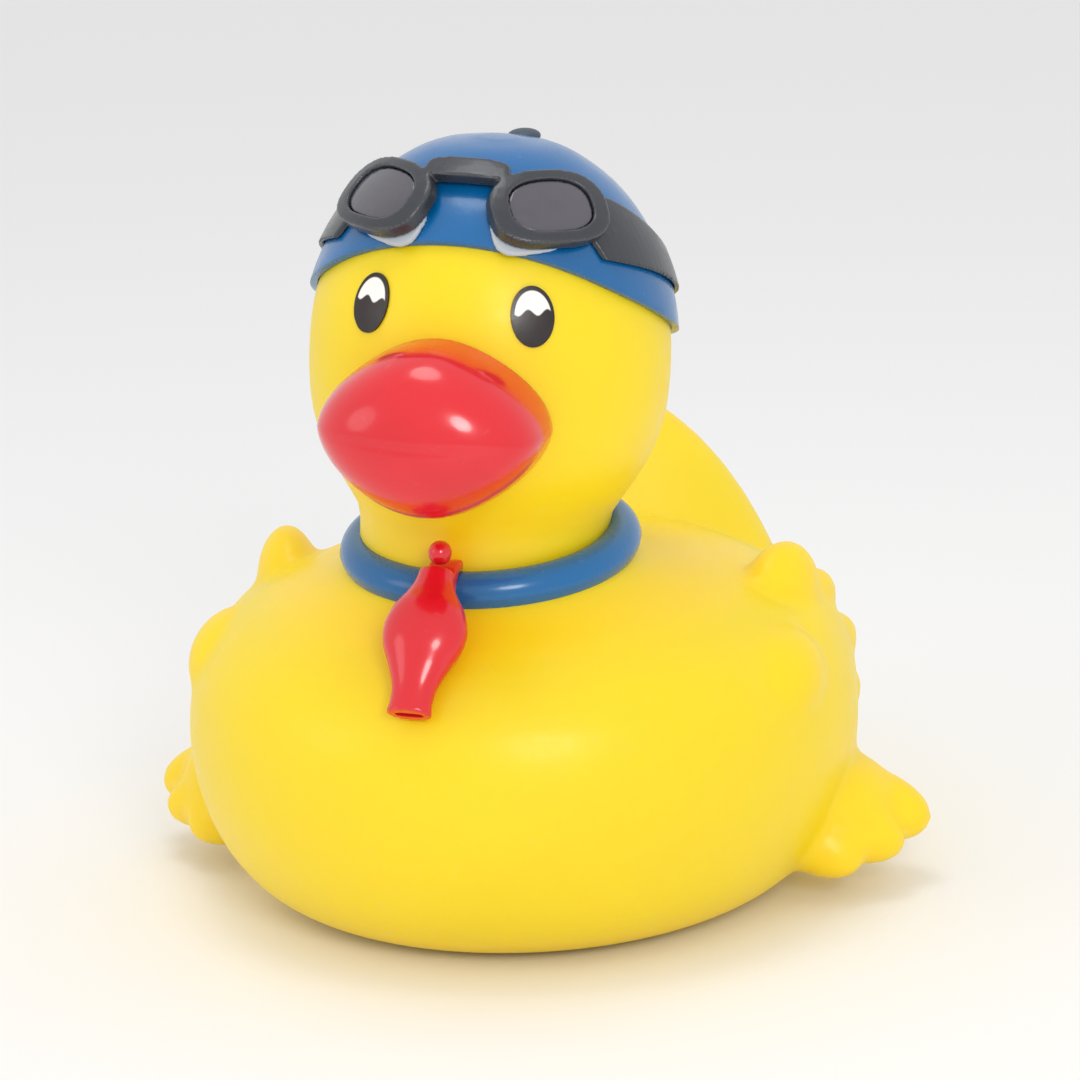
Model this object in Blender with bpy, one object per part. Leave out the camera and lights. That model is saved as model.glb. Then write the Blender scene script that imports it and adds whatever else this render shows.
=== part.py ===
"""Floating chlorine dispenser shaped as a swimming duck.

The duck faces -Y and rests on the flat ring of its belly at z = 0. The origin is on the
axis of the tablet canister. Every separate piece is one closed solid in its own object.
"""

import math

import bmesh
import bpy
from mathutils import Matrix, Vector

# ---------------------------------------------------------------- driving dimensions (metres)
WALL = 0.003               # moulded vinyl wall
GAP = 0.0003               # clearance between touching pieces

# body: height, half width, front reach, back reach
BODY_LEVELS = [
    (0.0000, 0.080, -0.086, 0.084),
    (0.0040, 0.092, -0.099, 0.096),
    (0.0140, 0.104, -0.112, 0.108),
    (0.0300, 0.113, -0.123, 0.117),
    (0.0500, 0.118, -0.130, 0.122),
    (0.0700, 0.118, -0.131, 0.123),
    (0.0870, 0.113, -0.127, 0.119),
    (0.1000, 0.102, -0.118, 0.108),
    (0.1100, 0.086, -0.107, 0.090),
    (0.1180, 0.069, -0.095, 0.060),
    (0.1240, 0.056, -0.0885, 0.026),
    (0.1290, 0.0475, -0.0850, 0.006),
]
CAVITY_BOTTOM = 0.014
CAVITY_TOP = 0.107

# tail: height, half width, front reach, back reach
TAIL_LEVELS = [
    (0.0700, 0.084, 0.030, 0.121),
    (0.0920, 0.076, 0.045, 0.128),
    (0.1080, 0.065, 0.064, 0.133),
    (0.1200, 0.054, 0.082, 0.136),
    (0.1310, 0.042, 0.098, 0.1368),
    (0.1420, 0.025, 0.112, 0.1366),
    (0.1500, 0.007, 0.126, 0.132),
]

NECK_Y = -0.041            # the neck and the head stand forward of the canister
NECK_SEAM_Z = 0.1293
SPIGOT_RADIUS = 0.0381     # neck plug under the head
SPIGOT_BORE = 0.0335
SPIGOT_BOTTOM = 0.112
NECK_SEAL = (0.1140, 0.1166)

# head: height, half width, half depth
HEAD_LEVELS = [
    (NECK_SEAM_Z, 0.0430, 0.0425),
    (0.1450, 0.0435, 0.0430),
    (0.1560, 0.0500, 0.0485),
    (0.1670, 0.0560, 0.0545),
    (0.1780, 0.0597, 0.0580),
    (0.1900, 0.0612, 0.0595),
    (0.2050, 0.0612, 0.0597),
    (0.2180, 0.0595, 0.0585),
    (0.2300, 0.0557, 0.0550),
    (0.2420, 0.0497, 0.0490),
    (0.2540, 0.0405, 0.0400),
    (0.2630, 0.0290, 0.0285),
    (0.2690, 0.0150, 0.0145),
]
HEAD_CAVITY_BOTTOM = 0.156
HEAD_LEAN = math.radians(4)        # the head leans to the duck's left, about the neck
LEAN_PIVOT = Vector((0, NECK_Y, 0.1350))
HEAD_SHIFT = Vector((-0.0020, 0, 0))

CORD_Z = 0.1325            # blue neck cord and the groove it lies in, low in front
CORD_RADIUS = 0.0450
CORD_THICK = 0.0068
CORD_TILT = math.radians(7.5)

CAP_THICK = 0.0025
PLUG_BACK = 0.020          # the cap's plug stands behind the crown
# cap rim seen from the side: (y, z)
CAP_RIM = [(-0.096, 0.2500), (-0.084, 0.2395), (-0.067, 0.2275),
           (-0.040, 0.2145), (0.000, 0.2005), (0.030, 0.1925)]

BEAK_CENTRE = Vector((-0.001, -0.104, 0.1870))
BEAK_RADII = (0.0360, 0.0330, 0.0265)
BEAK_HOLLOW = Vector((0.0295, 0, 0))
EYE_CENTRE = Vector((0.0262, -0.0900, 0.2230))
EYE_HALF = (0.0072, 0.0098)

CUP_CENTRE = Vector((0.0255, -0.0740, 0.2525))
CUP_NORMAL = Vector((0.46, -0.56, 0.69)).normalized()
CUP_HALF = (0.0205, 0.0140)
LENS_HALF = (0.0142, 0.0096)
PAD_SKIN = (0.0031, 0.0046)        # skins over the head, as offsets from its surface
FRAME_SKIN = (0.0049, 0.0095)
LENS_SKIN = (0.0062, 0.0082)
STRAP_SKIN = (0.0031, 0.0049)
# strap seen from the side: (y, z)
STRAP_SIDE = [(-0.072, 0.262), (-0.050, 0.250), (-0.028, 0.2345), (0.035, 0.206),
              (0.035, 0.198), (-0.028, 0.2235), (-0.050, 0.234), (-0.072, 0.242)]

# whistle: it hangs on the cord and leans on the chest
WHISTLE_X = -0.003
WHISTLE_DIRECTION = Vector((0, -0.632, -0.775)).normalized()
WHISTLE_OUT = Vector((0, -0.775, 0.632)).normalized()
WHISTLE_LEAD = 0.0145      # how far the whistle lies in front of the cord's centre

# canister: a closed-topped well for tablets of 76 mm, screwed in from below
CAN_OUTER = 0.0445
CAN_INNER = 0.0420
CAN_TOP = 0.1000
RECESS_RADIUS = 0.0600
FLOOR_BOTTOM = 0.0100
FLANGE = (0.0049, 0.0081)
FLANGE_RADIUS = 0.0592
GASKET = (0.0084, 0.0097)
SCREW_COUNT = 6
SCREW_CIRCLE = 0.0530
SCREW_RADIUS = 0.0016
SCREW_TOP = 0.0190
BOSS_TOP = 0.0215

CAP_PLATE = (0.0016, 0.0046)
CAP_GRIP_RADIUS = 0.0455
CAP_SKIRT = (0.0378, 0.0405)
CAP_SKIRT_TOP = 0.0170
CAP_WEB = (0.0040, 0.0066)
ORING_Z = (0.0092, 0.0112)
VENT_RADII = (0.0130, 0.0270)
VENT_SPREAD = math.radians(46)
VENT_COUNT = 3
DIAL = (0.0016, 0.0036)
DIAL_RADIUS = 0.0305
GRID = (0.0173, 0.0193)

# sliding lock behind the cap: half width, near and far reach along Y
LOCK_SLAB = (0.0055, 0.0485, 0.0575)
LOCK_TONGUE = (0.0016, 0.0460, 0.0490)
LOCK_STEM = (0.0018, 0.0515, 0.0545)
LOCK_TRAVEL = 0.0022

UP = Vector((0, 0, 1))


# ---------------------------------------------------------------- scene, materials, meshes
def clear_scene():
    for item in list(bpy.data.objects):
        bpy.data.objects.remove(item, do_unlink=True)


def material(name, colour, roughness, metallic=0.0):
    made = bpy.data.materials.new(name)
    made.use_nodes = True
    shader = made.node_tree.nodes["Principled BSDF"]
    shader.inputs["Base Color"].default_value = (*colour, 1.0)
    shader.inputs["Roughness"].default_value = roughness
    shader.inputs["Metallic"].default_value = metallic
    return made


def place(name, form, finish=None, smooth=True):
    """Turn a bmesh into an object, with its normals facing out."""
    bmesh.ops.remove_doubles(form, verts=form.verts, dist=1e-5)
    bmesh.ops.recalc_face_normals(form, faces=form.faces)
    mesh = bpy.data.meshes.new(name)
    form.to_mesh(mesh)
    form.free()
    if smooth:
        mesh.shade_smooth()
        mesh.set_sharp_from_angle(angle=math.radians(35))
    thing = bpy.data.objects.new(name, mesh)
    if finish:
        mesh.materials.append(finish)
    bpy.context.scene.collection.objects.link(thing)
    return thing


def guide(name, form):
    """A cutter or joining form, which is not a piece of the object."""
    thing = place(name, form, smooth=False)
    thing.hide_render = True
    thing.display_type = "WIRE"
    return thing


def combine(thing, operation, *others):
    """Join, cut or intersect a piece with guides, in the order given."""
    for other in others:
        modifier = thing.modifiers.new(other.name, "BOOLEAN")
        modifier.operation = operation
        modifier.solver = "EXACT"
        modifier.object = other


# ---------------------------------------------------------------- shapes
def between(rows, height):
    """A smooth row of values at a height, through the stated rows."""
    last = len(rows) - 1
    index = 0
    while index < last - 1 and height > rows[index + 1][0]:
        index += 1
    low, high = rows[index], rows[index + 1]
    before = rows[max(index - 1, 0)]
    after = rows[min(index + 2, last)]
    span = high[0] - low[0]
    t = (height - low[0]) / span
    values = []
    for k in range(1, len(low)):
        slope_low = (high[k] - before[k]) / (high[0] - before[0]) * span
        slope_high = (after[k] - low[k]) / (after[0] - low[0]) * span
        values.append(
            (2 * t**3 - 3 * t**2 + 1) * low[k] + (t**3 - 2 * t**2 + t) * slope_low
            + (3 * t**2 - 2 * t**3) * high[k] + (t**3 - t**2) * slope_high
        )
    return values


def rings_to_form(rings):
    """Close a stack of rings of points into one skin with flat ends."""
    form = bmesh.new()
    loops = [[form.verts.new(point) for point in ring] for ring in rings]
    sides = len(loops[0])
    for lower, upper in zip(loops, loops[1:]):
        for i in range(sides):
            j = (i + 1) % sides
            form.faces.new((lower[i], lower[j], upper[j], upper[i]))
    form.faces.new(list(reversed(loops[0])))
    form.faces.new(loops[-1])
    return form


def oval_ring(half_width, front, back, height, sides, power=2.0):
    """A superellipse at one height, symmetrical about the X = 0 plane."""
    middle = (front + back) / 2
    half_length = (back - front) / 2
    ring = []
    for i in range(sides):
        angle = 2 * math.pi * i / sides
        c, s = math.cos(angle), math.sin(angle)
        x = half_width * math.copysign(abs(c) ** (2 / power), c)
        y = middle + half_length * math.copysign(abs(s) ** (2 / power), s)
        ring.append(Vector((x, y, height)))
    return ring


def body_form(sides=30, inset=0.0, bottom=0.0, top=BODY_LEVELS[-1][0], steps=12):
    rings = []
    for i in range(steps):
        height = bottom + (top - bottom) * (1 - math.cos(math.pi * i / (steps - 1))) / 2
        half, front, back = between(BODY_LEVELS, height)
        power = 2.25 - 0.25 * height / BODY_LEVELS[-1][0]
        rings.append(oval_ring(half - inset, front + inset, back - inset, height, sides, power))
    return rings_to_form(rings)


def tail_form(sides=16, inset=0.0, top=TAIL_LEVELS[-1][0], steps=6):
    rings = []
    bottom = TAIL_LEVELS[0][0]
    for i in range(steps):
        height = bottom + (top - bottom) * i / (steps - 1)
        half, front, back = between(TAIL_LEVELS, height)
        rings.append(oval_ring(half - inset, front + inset, back - inset, height, sides, 2.0))
    return rings_to_form(rings)


def head_form(offset=0.0, bottom=HEAD_LEVELS[0][0], sides=26, steps=12):
    """The head's outside, moved out or in along its own normals by the offset."""
    crown = HEAD_LEVELS[-1][0]
    rings = []
    for i in range(steps):
        height = bottom + (crown - bottom) * math.sin(math.pi / 2 * i / (steps - 1))
        half, depth = between(HEAD_LEVELS, height)
        rings.append(oval_ring(half, NECK_Y - depth, NECK_Y + depth, height, sides, 2.1))
    form = rings_to_form(rings)
    bmesh.ops.recalc_face_normals(form, faces=form.faces)
    form.normal_update()
    crown_face = max(form.faces, key=lambda face: face.calc_center_median().z)
    bmesh.ops.poke(form, faces=[crown_face], offset=0.0012)
    form.normal_update()
    moves = [(vert, vert.normal * offset) for vert in form.verts]
    for vert, move in moves:
        vert.co += move
    return form


def turned(outline, sides=32, centre=(0, 0)):
    """A solid of revolution about a vertical axis from a closed outline of (radius, height)."""
    form = bmesh.new()
    points = [form.verts.new((centre[0] + r, centre[1], z)) for r, z in outline]
    edges = [form.edges.new((a, b)) for a, b in zip(points, points[1:] + points[:1])]
    on_axis = [edge for edge in edges if all(abs(v.co.x - centre[0]) < 1e-7 for v in edge.verts)]
    bmesh.ops.delete(form, geom=on_axis, context="EDGES_FACES")
    bmesh.ops.spin(
        form,
        geom=form.verts[:] + form.edges[:],
        cent=(*centre, 0),
        axis=UP,
        angle=2 * math.pi,
        steps=sides,
        use_merge=True,
    )
    return form


def drum(radius, low, high, sides=32, centre=(0, 0)):
    return turned([(0, low), (radius, low), (radius, high), (0, high)], sides, centre)


def pipe(inner, outer, low, high, sides=32, centre=(0, 0)):
    return turned([(inner, low), (outer, low), (outer, high), (inner, high)], sides, centre)


def frame_of(direction, centre, hint=UP):
    """A matrix whose Z is the direction and whose X is level, or square to the hint."""
    z = direction.normalized()
    x = hint.cross(z).normalized()
    y = z.cross(x)
    matrix = Matrix((x, y, z)).transposed().to_4x4()
    matrix.translation = centre
    return matrix


def lump(start, end, half_width, half_height, segments=12, rings=8):
    """An ellipsoid whose long axis runs from start to end."""
    start, end = Vector(start), Vector(end)
    along = end - start
    form = bmesh.new()
    bmesh.ops.create_uvsphere(form, u_segments=segments, v_segments=rings, radius=1)
    scale = Matrix.Diagonal((half_width, half_height, along.length / 2, 1))
    matrix = frame_of(along, (start + end) / 2) @ scale
    bmesh.ops.transform(form, matrix=matrix, verts=form.verts)
    return form


def prism(outline, matrix, low, high):
    """An outline of (x, y) extruded along the matrix's Z."""
    rings = [[matrix @ Vector((x, y, z)) for x, y in outline] for z in (low, high)]
    return rings_to_form(rings)


def rounded(half_x, half_y, sides=20, power=2.6, centre=(0, 0)):
    outline = []
    for i in range(sides):
        angle = 2 * math.pi * (i + 0.5) / sides
        c, s = math.cos(angle), math.sin(angle)
        outline.append((
            centre[0] + half_x * math.copysign(abs(c) ** (2 / power), c),
            centre[1] + half_y * math.copysign(abs(s) ** (2 / power), s),
        ))
    return outline


def sector(inner, outer, middle, spread, steps=6):
    """The outline of a kidney slot about the canister's axis."""
    angles = [middle - spread / 2 + spread * i / steps for i in range(steps + 1)]
    far = [(outer * math.cos(a), outer * math.sin(a)) for a in angles]
    near = [(inner * math.cos(a), inner * math.sin(a)) for a in reversed(angles)]
    return far + near


def torus(centre, major, minor, sides=28, round_sides=10):
    form = bmesh.new()
    rings = []
    for i in range(sides):
        turn = 2 * math.pi * i / sides
        ring = []
        for j in range(round_sides):
            a = 2 * math.pi * j / round_sides
            r = major + minor * math.cos(a)
            point = (r * math.cos(turn), r * math.sin(turn), minor * math.sin(a))
            ring.append(form.verts.new(Vector(centre) + Vector(point)))
        rings.append(ring)
    for i in range(sides):
        here, there = rings[i], rings[(i + 1) % sides]
        for j in range(round_sides):
            k = (j + 1) % round_sides
            form.faces.new((here[j], there[j], there[k], here[k]))
    return form


def box_outline(half_width, near, far):
    return [(-half_width, near), (half_width, near), (half_width, far), (-half_width, far)]


FLAT = Matrix.Identity(4)


def mirrored(points, side):
    return [Vector((side * p[0], p[1], p[2])) for p in points]


# ---------------------------------------------------------------- vinyl duck
def wing_lumps(side):
    """The moulded wing: blade, leading shoulder, raised tip and three trailing feathers."""
    parts = [
        ((0.099, -0.052, 0.060), (0.101, 0.058, 0.064), 0.018, 0.040, 12, 8),
        ((0.100, -0.052, 0.082), (0.102, -0.010, 0.086), 0.015, 0.017, 8, 6),
        ((0.087, 0.002, 0.072), (0.095, 0.022, 0.117), 0.012, 0.021, 8, 6),
        ((0.090, 0.006, 0.088), (0.100, 0.052, 0.094), 0.011, 0.012, 8, 6),
        ((0.096, 0.008, 0.071), (0.106, 0.061, 0.076), 0.011, 0.012, 8, 6),
        ((0.097, 0.008, 0.053), (0.107, 0.062, 0.056), 0.011, 0.012, 8, 6),
    ]
    lumps = []
    for start, end, wide, tall, segments, rings in parts:
        ends = mirrored((start, end), side)
        lumps.append(lump(*ends, wide, tall, segments, rings))
    return lumps


def foot_lumps(side):
    """The webbed foot: a heel under the body and three toes."""
    parts = [
        ((0.088, 0.005, 0.035), (0.130, 0.000, 0.026), 0.025, 0.015),
        ((0.096, 0.014, 0.031), (0.144, 0.008, 0.022), 0.013, 0.012),
        ((0.095, 0.001, 0.027), (0.136, -0.010, 0.017), 0.012, 0.011),
        ((0.089, -0.007, 0.024), (0.122, -0.022, 0.015), 0.011, 0.010),
    ]
    lumps = []
    for start, end, wide, tall in parts:
        ends = mirrored((start, end), side)
        lumps.append(lump(*ends, wide, tall, 8, 6))
    return lumps


def cord_front():
    """The centre of the cord where the whistle hangs."""
    drop = CORD_RADIUS * math.sin(CORD_TILT)
    return Vector((WHISTLE_X, NECK_Y - CORD_RADIUS * math.cos(CORD_TILT), CORD_Z - drop))


def cord_form(thick):
    form = torus((0, 0, 0), CORD_RADIUS, thick)
    matrix = Matrix.Translation((0, NECK_Y, CORD_Z)) @ Matrix.Rotation(CORD_TILT, 4, "X")
    bmesh.ops.transform(form, matrix=matrix, verts=form.verts)
    return form


def cord_groove(name):
    return guide(name, cord_form(CORD_THICK + GAP))


def loop_relief(name):
    """Room in the neck for the whistle's loop to turn about the cord."""
    matrix = frame_of(Vector((1, 0, 0)), cord_front())
    return guide(name, prism(rounded(0.0119, 0.0119, 15, 2.0), matrix, -0.0066, 0.0062))


def build_body(finish, groove, relief):
    body = place("body_shell", body_form(), finish)
    joined = [guide("tail_lump", tail_form())]
    for side, word in ((1, "left"), (-1, "right")):
        for number, form in enumerate(wing_lumps(side) + foot_lumps(side)):
            joined.append(guide(f"{word}_lump_{number}", form))
    combine(body, "UNION", *joined)
    cavity = guide("body_cavity", body_form(20, WALL, CAVITY_BOTTOM, CAVITY_TOP, 7))
    tail_hollow = guide("tail_cavity", tail_form(12, WALL, 0.128, 4))
    combine(cavity, "UNION", tail_hollow)
    bosses = [
        guide(f"boss_{n}", drum(0.0045, FLOOR_BOTTOM, BOSS_TOP, 8, screw_place(n)))
        for n in range(SCREW_COUNT)
    ]
    combine(body, "DIFFERENCE", cavity)
    combine(body, "UNION", *bosses)
    neck_hole = guide("neck_hole", drum(SPIGOT_RADIUS + GAP, 0.104, 0.160, 28, (0, NECK_Y)))
    belly_hole = guide("belly_hole", drum(CAN_OUTER + 0.002, -0.010, 0.030))
    recess = guide("belly_recess", drum(RECESS_RADIUS, -0.010, FLOOR_BOTTOM))
    holes = [
        guide(f"screw_hole_{n}", drum(SCREW_RADIUS + GAP, 0.005, SCREW_TOP + GAP, 8, screw_place(n)))
        for n in range(SCREW_COUNT)
    ]
    combine(body, "DIFFERENCE", neck_hole, belly_hole, recess, relief, groove, *holes)
    return body


def build_head(finish, groove, relief):
    head = place("head_shell", head_form(), finish)
    hollow = guide("head_cavity", head_form(-WALL, HEAD_CAVITY_BOTTOM, 16, 7))
    lean(head, hollow)
    combine(head, "DIFFERENCE", guide("below_neck", drum(0.071, 0.101, NECK_SEAM_Z, 17, (0.0007, NECK_Y))))
    spigot = guide("neck_spigot", drum(SPIGOT_RADIUS, SPIGOT_BOTTOM, 0.145, 28, (0, NECK_Y)))
    bore = guide("neck_bore", drum(SPIGOT_BORE, 0.103, 0.163, 20, (0, NECK_Y)))
    seal_groove = guide(
        "neck_seal_groove", pipe(0.0355, 0.0400, NECK_SEAL[0] - GAP, NECK_SEAL[1] + GAP, 28, (0, NECK_Y)))
    combine(head, "UNION", spigot)
    combine(head, "DIFFERENCE", hollow, bore, seal_groove, groove, relief)
    return head


def build_cap(finish, plug_finish):
    cap = place("swim_cap", head_form(GAP + CAP_THICK), finish)
    inside = guide("cap_inside", head_form(GAP))
    below = [(-0.150, 0.290), *CAP_RIM, (0.080, 0.180), (0.080, 0.100), (-0.150, 0.100)]
    side_view = Matrix(((0, 0, 1, 0), (1, 0, 0, 0), (0, 1, 0, 0), (0, 0, 0, 1)))
    rim_cut = guide("cap_rim_cut", prism(below, side_view, -0.1, 0.1))
    crown = HEAD_LEVELS[-1][0]
    plug_place = (0.004, NECK_Y + PLUG_BACK)
    plug_hole = guide("plug_hole", drum(0.0035, 0.240, 0.300, 12, plug_place))
    combine(cap, "DIFFERENCE", inside, rim_cut, plug_hole)
    stem = 0.0032
    plug = place("cap_plug", turned([
        (0, crown - 0.0010), (stem, crown - 0.0010), (stem, crown + 0.0032),
        (0.0060, crown + 0.0032),
        (0.0052, crown + 0.0052), (0.0030, crown + 0.0062), (0, crown + 0.0064),
    ], 16, plug_place), plug_finish)
    return cap, plug


def build_face(beak_finish, eye_finish):
    form = bmesh.new()
    bmesh.ops.create_uvsphere(form, u_segments=20, v_segments=12, radius=1)
    for vert in form.verts:
        x, y, z = vert.co
        narrowing = 1 - 0.10 * abs(z)
        scaled = Vector((x * narrowing * BEAK_RADII[0], y * BEAK_RADII[1], z * BEAK_RADII[2]))
        vert.co = BEAK_CENTRE + scaled
    beak = place("beak", form, beak_finish)
    hollow = lump(BEAK_CENTRE - BEAK_HOLLOW, BEAK_CENTRE + BEAK_HOLLOW, 0.0255, 0.0205, 14, 8)
    combine(beak, "DIFFERENCE", guide("beak_hollow", hollow), guide("beak_seat", head_form(GAP)))
    skin_outer = guide("eye_skin_outer", head_form(0.0016))
    skin_inner = guide("eye_skin_inner", head_form(GAP))
    for side, word in ((1, "left"), (-1, "right")):
        centre = Vector((side * EYE_CENTRE.x, EYE_CENTRE.y, EYE_CENTRE.z))
        facing = Vector((side * 0.50, -0.82, 0.26))
        form = prism(rounded(*EYE_HALF, 20, 2.0), frame_of(facing, centre), -0.020, 0.020)
        eye = place(f"eye_{word}", form, eye_finish)
        combine(eye, "INTERSECT", skin_outer)
        combine(eye, "DIFFERENCE", skin_inner)


def head_skin(name, offset):
    return guide(name, head_form(offset))


def build_goggles(black, lens_finish, pad_finish):
    """Two cups with a bridge in low relief on the cap, a strap, lenses and grey pads."""
    facing, centre, frames = {}, {}, {}
    for side, word in ((1, "left"), (-1, "right")):
        centre[word] = Vector((side * CUP_CENTRE.x, CUP_CENTRE.y, CUP_CENTRE.z))
        facing[word] = Vector((side * CUP_NORMAL.x, CUP_NORMAL.y, CUP_NORMAL.z))
        frames[word] = frame_of(facing[word], centre[word])
    cup = rounded(*CUP_HALF, 20)
    sight = rounded(LENS_HALF[0] - 0.0020, LENS_HALF[1] - 0.0020, 16)
    pocket = rounded(LENS_HALF[0] + GAP, LENS_HALF[1] + GAP, 20)
    frame = place("goggle_frame", prism(cup, frames["left"], -0.012, 0.020), black)
    combine(frame, "UNION", guide("right_cup", prism(cup, frames["right"], -0.012, 0.020)))
    bar_frame = frame_of(Vector((0, -0.62, 0.78)), Vector((0, -0.0720, 0.2610)))
    bar = prism(rounded(0.0140, 0.0042, 16, 5.0), bar_frame, -0.012, 0.020)
    combine(frame, "UNION", guide("goggle_bridge", bar))
    combine(frame, "INTERSECT", head_skin("frame_outer", FRAME_SKIN[1]))
    combine(frame, "DIFFERENCE", head_skin("frame_inner", FRAME_SKIN[0]))
    for side, word in ((1, "left"), (-1, "right")):
        well = guide(f"{word}_pocket", prism(pocket, frames[word], -0.010, 0.030))
        combine(well, "DIFFERENCE", head_skin(f"{word}_ledge", LENS_SKIN[0] - GAP))
        hole = guide(f"{word}_sight", prism(sight, frames[word], -0.030, 0.030))
        combine(frame, "DIFFERENCE", well, hole)
        glass = prism(rounded(*LENS_HALF, 20), frames[word], -0.010, 0.030)
        lens = place(f"goggle_lens_{word}", glass, lens_finish)
        combine(lens, "INTERSECT", head_skin(f"{word}_glass_outer", LENS_SKIN[1]))
        combine(lens, "DIFFERENCE", head_skin(f"{word}_glass_inner", LENS_SKIN[0]))
        rest = rounded(CUP_HALF[0], CUP_HALF[1], 20, 2.6, (-0.0020 * side, -0.0015))
        pad = place(f"goggle_pad_{word}", prism(rest, frames[word], -0.020, 0.012), pad_finish)
        combine(pad, "INTERSECT", head_skin(f"{word}_pad_outer", PAD_SKIN[1]))
        through = guide(f"{word}_pad_hole", prism(sight, frames[word], -0.032, 0.032))
        combine(pad, "DIFFERENCE", head_skin(f"{word}_pad_inner", PAD_SKIN[0]), through)
    side_view = Matrix(((0, 0, 1, 0), (1, 0, 0, 0), (0, 1, 0, 0), (0, 0, 0, 1)))
    strap = place("goggle_strap", prism(STRAP_SIDE, side_view, -0.09, 0.09), black)
    combine(strap, "INTERSECT", head_skin("strap_outer", STRAP_SKIN[1]))
    combine(strap, "DIFFERENCE", head_skin("strap_inner", STRAP_SKIN[0]))
    for word in ("left", "right"):
        grown = rounded(CUP_HALF[0] + 0.0022, CUP_HALF[1] + 0.0022, 20)
        cut = guide(f"{word}_strap_end", prism(grown, frames[word], -0.030, 0.030))
        combine(strap, "DIFFERENCE", cut)
    middle = prism(box_outline(0.022, -0.100, -0.045), FLAT, 0.230, 0.320)
    combine(strap, "DIFFERENCE", guide("strap_front", middle))


def build_neck(cord_finish, whistle_finish, rubber):
    place("neck_cord", cord_form(CORD_THICK), cord_finish)
    place("neck_seal", pipe(0.0358, SPIGOT_RADIUS, *NECK_SEAL, 28, (0, NECK_Y)), rubber)
    hang = cord_front()
    across = frame_of(Vector((1, 0, 0)), hang)
    loop = prism(rounded(0.0112, 0.0112, 16, 2.0), across, -0.0055, 0.0055)
    whistle = place("whistle", loop, whistle_finish)
    # slices down the whistle: distance from the cord, half width, half thickness
    slices = [
        (0.004, 0.0040, 0.0040), (0.009, 0.0085, 0.0060), (0.014, 0.0130, 0.0085),
        (0.021, 0.0140, 0.0092), (0.028, 0.0128, 0.0085), (0.035, 0.0092, 0.0065),
        (0.043, 0.0066, 0.0052), (0.050, 0.0070, 0.0048),
    ]
    side_lean = Vector((-0.04, 0, 0))
    rings = []
    for distance, half_x, half_out in slices:
        lead = WHISTLE_LEAD - max(0.0, 0.014 - distance) * 0.45    # the neck leans back to the loop
        centre = hang + WHISTLE_OUT * lead + (WHISTLE_DIRECTION + side_lean) * distance
        ring = []
        for i in range(16):
            a = 2 * math.pi * i / 16
            sideways = Vector((math.cos(a) * half_x, 0, 0))
            ring.append(centre + sideways + WHISTLE_OUT * math.sin(a) * half_out)
        rings.append(ring)
    blade = guide("whistle_blade", rings_to_form(rings))
    eye = guide("whistle_eye", prism(rounded(0.0085, 0.0085, 16, 2.0), across, -0.0200, 0.0200))
    mouth_centre = hang + WHISTLE_OUT * WHISTLE_LEAD + side_lean * 0.046
    mouth_frame = frame_of(WHISTLE_DIRECTION, mouth_centre, WHISTLE_OUT)
    mouth = guide("whistle_mouth", prism(rounded(0.0045, 0.0020, 8, 3.0), mouth_frame, 0.040, 0.060))
    window_frame = frame_of(WHISTLE_OUT, hang + WHISTLE_DIRECTION * 0.031 + side_lean * 0.031)
    window = guide("whistle_window", prism(rounded(0.0045, 0.0022, 8, 4.0), window_frame, 0.0115, 0.030))
    combine(whistle, "UNION", blade)
    combine(whistle, "DIFFERENCE", eye, mouth, window)


# ---------------------------------------------------------------- canister and its fittings
def lean(*things):
    """Lean finished forms with the head, with every face made flat."""
    move = Matrix.Translation(LEAN_PIVOT)
    turn = move @ Matrix.Rotation(HEAD_LEAN, 4, "Y") @ move.inverted()
    matrix = Matrix.Translation(HEAD_SHIFT) @ turn
    for thing in things:
        form = bmesh.new()
        form.from_mesh(thing.data)
        bmesh.ops.triangulate(form, faces=form.faces[:])
        form.transform(matrix)
        form.to_mesh(thing.data)
        form.free()


def screw_place(number):
    angle = 2 * math.pi * number / SCREW_COUNT
    return (SCREW_CIRCLE * math.cos(angle), SCREW_CIRCLE * math.sin(angle))


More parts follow.
